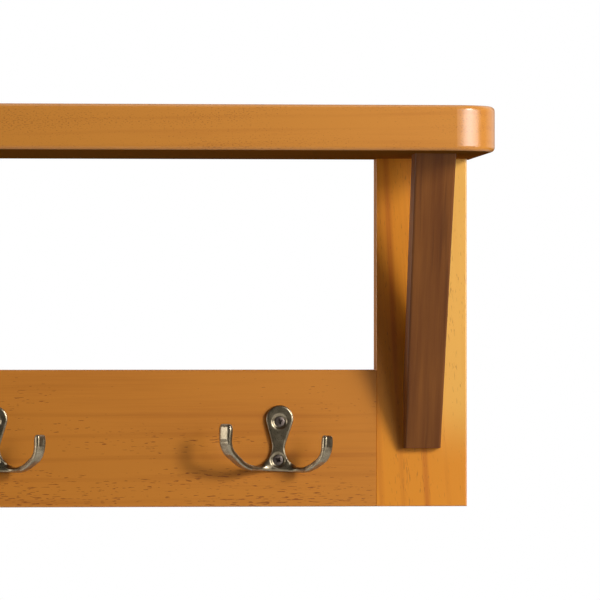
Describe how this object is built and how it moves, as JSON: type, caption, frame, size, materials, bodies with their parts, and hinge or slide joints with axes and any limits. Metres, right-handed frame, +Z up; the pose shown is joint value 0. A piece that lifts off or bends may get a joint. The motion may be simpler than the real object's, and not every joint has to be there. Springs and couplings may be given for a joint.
{
  "type": "wall shelf",
  "caption": "Wooden wall shelf with a thick rounded board, dark diagonal braces and a rail of cast double coat hooks.",
  "frame": {"origin": "centre of the hook rail's back face, on the wall", "axes": "+X along the shelf to the right as seen from the room, +Y into the wall, +Z up"},
  "size_m": [0.634, 0.15, 0.258],
  "materials": {
    "shelf_pine": "honey stain under satin lacquer",
    "rail_pine": "honey stain under satin lacquer",
    "stile_pine": "honey stain under satin lacquer",
    "walnut_brown": "dark brown stain under satin lacquer",
    "dowel_beech": "bare beech",
    "antique_pewter": "antique pewter plating, bright on worn edges",
    "pewter_screw": "antique pewter plating",
    "zinc_plate": "zinc plated",
    "plain_steel": "zinc plated"
  },
  "bodies": {
    "root": {"shelf_board": "shelf_pine", "hook_rail": "rail_pine", "left_stile": "stile_pine", "left_brace": "walnut_brown", "hanger_plate_left": "zinc_plate", "rail_dowel_left_upper": "dowel_beech", "hanger_screw_left_upper": "plain_steel", "rail_dowel_left_lower": "dowel_beech", "hanger_screw_left_lower": "plain_steel", "shelf_dowel_left_inner": "dowel_beech", "shelf_dowel_left_outer": "dowel_beech", "brace_dowel_left": "dowel_beech", "brace_screw_left": "plain_steel", "right_stile": "stile_pine", "right_brace": "walnut_brown", "hanger_plate_right": "zinc_plate", "rail_dowel_right_upper": "dowel_beech", "hanger_screw_right_upper": "plain_steel", "rail_dowel_right_lower": "dowel_beech", "hanger_screw_right_lower": "plain_steel", "shelf_dowel_right_inner": "dowel_beech", "shelf_dowel_right_outer": "dowel_beech", "brace_dowel_right": "dowel_beech", "brace_screw_right": "plain_steel", "hook_left": "antique_pewter", "hook_screw_left_upper": "pewter_screw", "hook_screw_left_lower": "pewter_screw", "hook_middle": "antique_pewter", "hook_screw_middle_upper": "pewter_screw", "hook_screw_middle_lower": "pewter_screw", "hook_right": "antique_pewter", "hook_screw_right_upper": "pewter_screw", "hook_screw_right_lower": "pewter_screw"}
  },
  "joints": []
}
